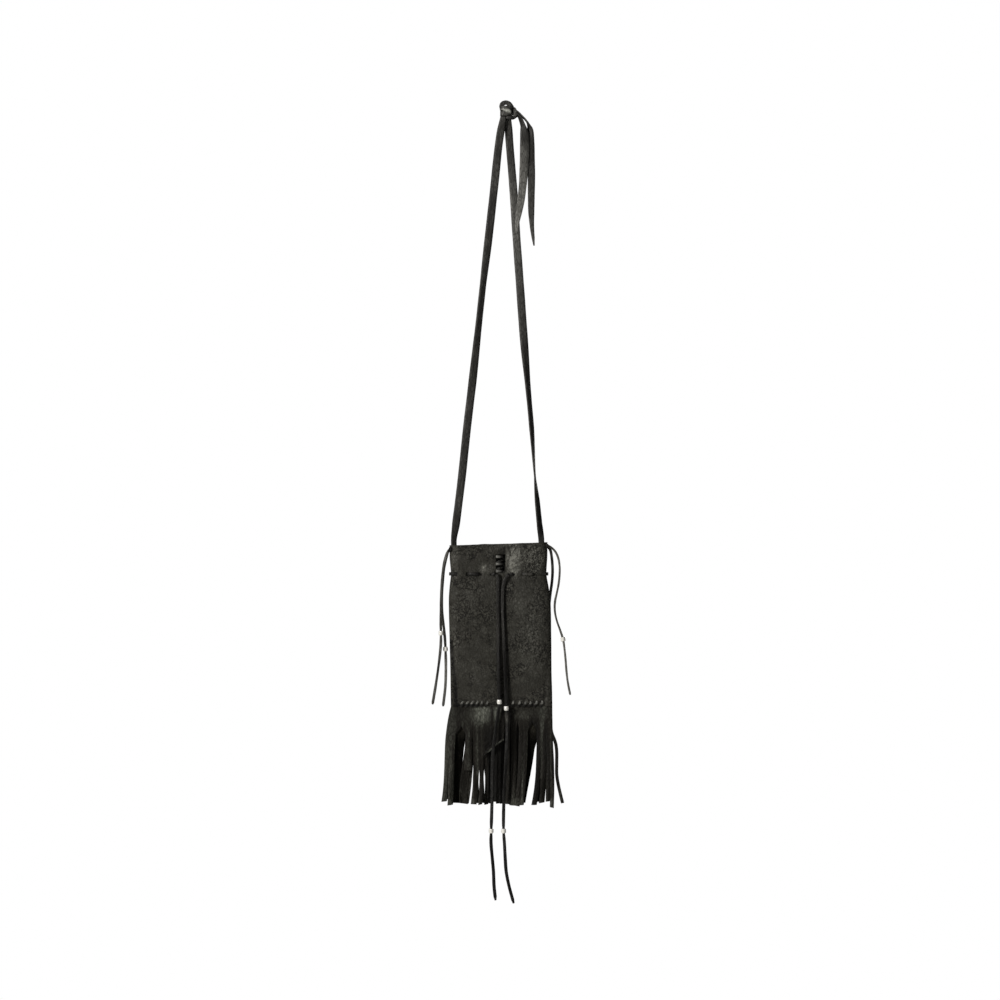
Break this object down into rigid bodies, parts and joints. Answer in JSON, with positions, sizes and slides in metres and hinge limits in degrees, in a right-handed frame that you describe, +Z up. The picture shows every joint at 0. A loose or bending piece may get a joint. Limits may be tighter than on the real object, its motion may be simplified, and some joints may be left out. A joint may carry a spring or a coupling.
{
  "type": "neck pouch",
  "caption": "Flat fringed leather neck pouch with a drawstring, beaded laces and a knotted strap, shown hanging by the eye in its strap's knot.",
  "frame": {"origin": "middle of the eye in the strap's knot, where the pouch hangs", "axes": "+Z up along the hanging strap, +X to the right of the pouch's front, +Y back, so the front faces -Y"},
  "size_m": [0.1606, 0.0262, 0.9221],
  "materials": {
    "body_leather": "pebbled black leather, soft sheen",
    "fringe_leather": "pebbled black leather cut in strips",
    "strap_leather": "smooth black strap leather, slightly worn",
    "lace_leather": "cut black lace",
    "bead": "glossy white"
  },
  "bodies": {
    "root": {"pouch_body": "body_leather", "fringe_front": "fringe_leather", "fringe_back": "fringe_leather", "drawstring": "lace_leather", "collar_lacing": "lace_leather", "strap_left": "strap_leather", "strap_right": "strap_leather", "strap_knot": "strap_leather", "strap_tail_outer": "strap_leather", "strap_tail_inner": "strap_leather", "side_lace_left_outer": "lace_leather", "side_lace_left_inner": "lace_leather", "side_lace_right_outer": "lace_leather", "side_lace_right_inner": "lace_leather", "drawstring_tail_left": "lace_leather", "drawstring_tail_right": "lace_leather", "bead_left_outer": "bead", "bead_left_inner": "bead", "bead_right_outer": "bead", "bead_right_inner": "bead", "bead_front_left": "bead", "bead_front_right": "bead", "bead_low_left": "bead", "bead_low_right": "bead"}
  },
  "joints": []
}
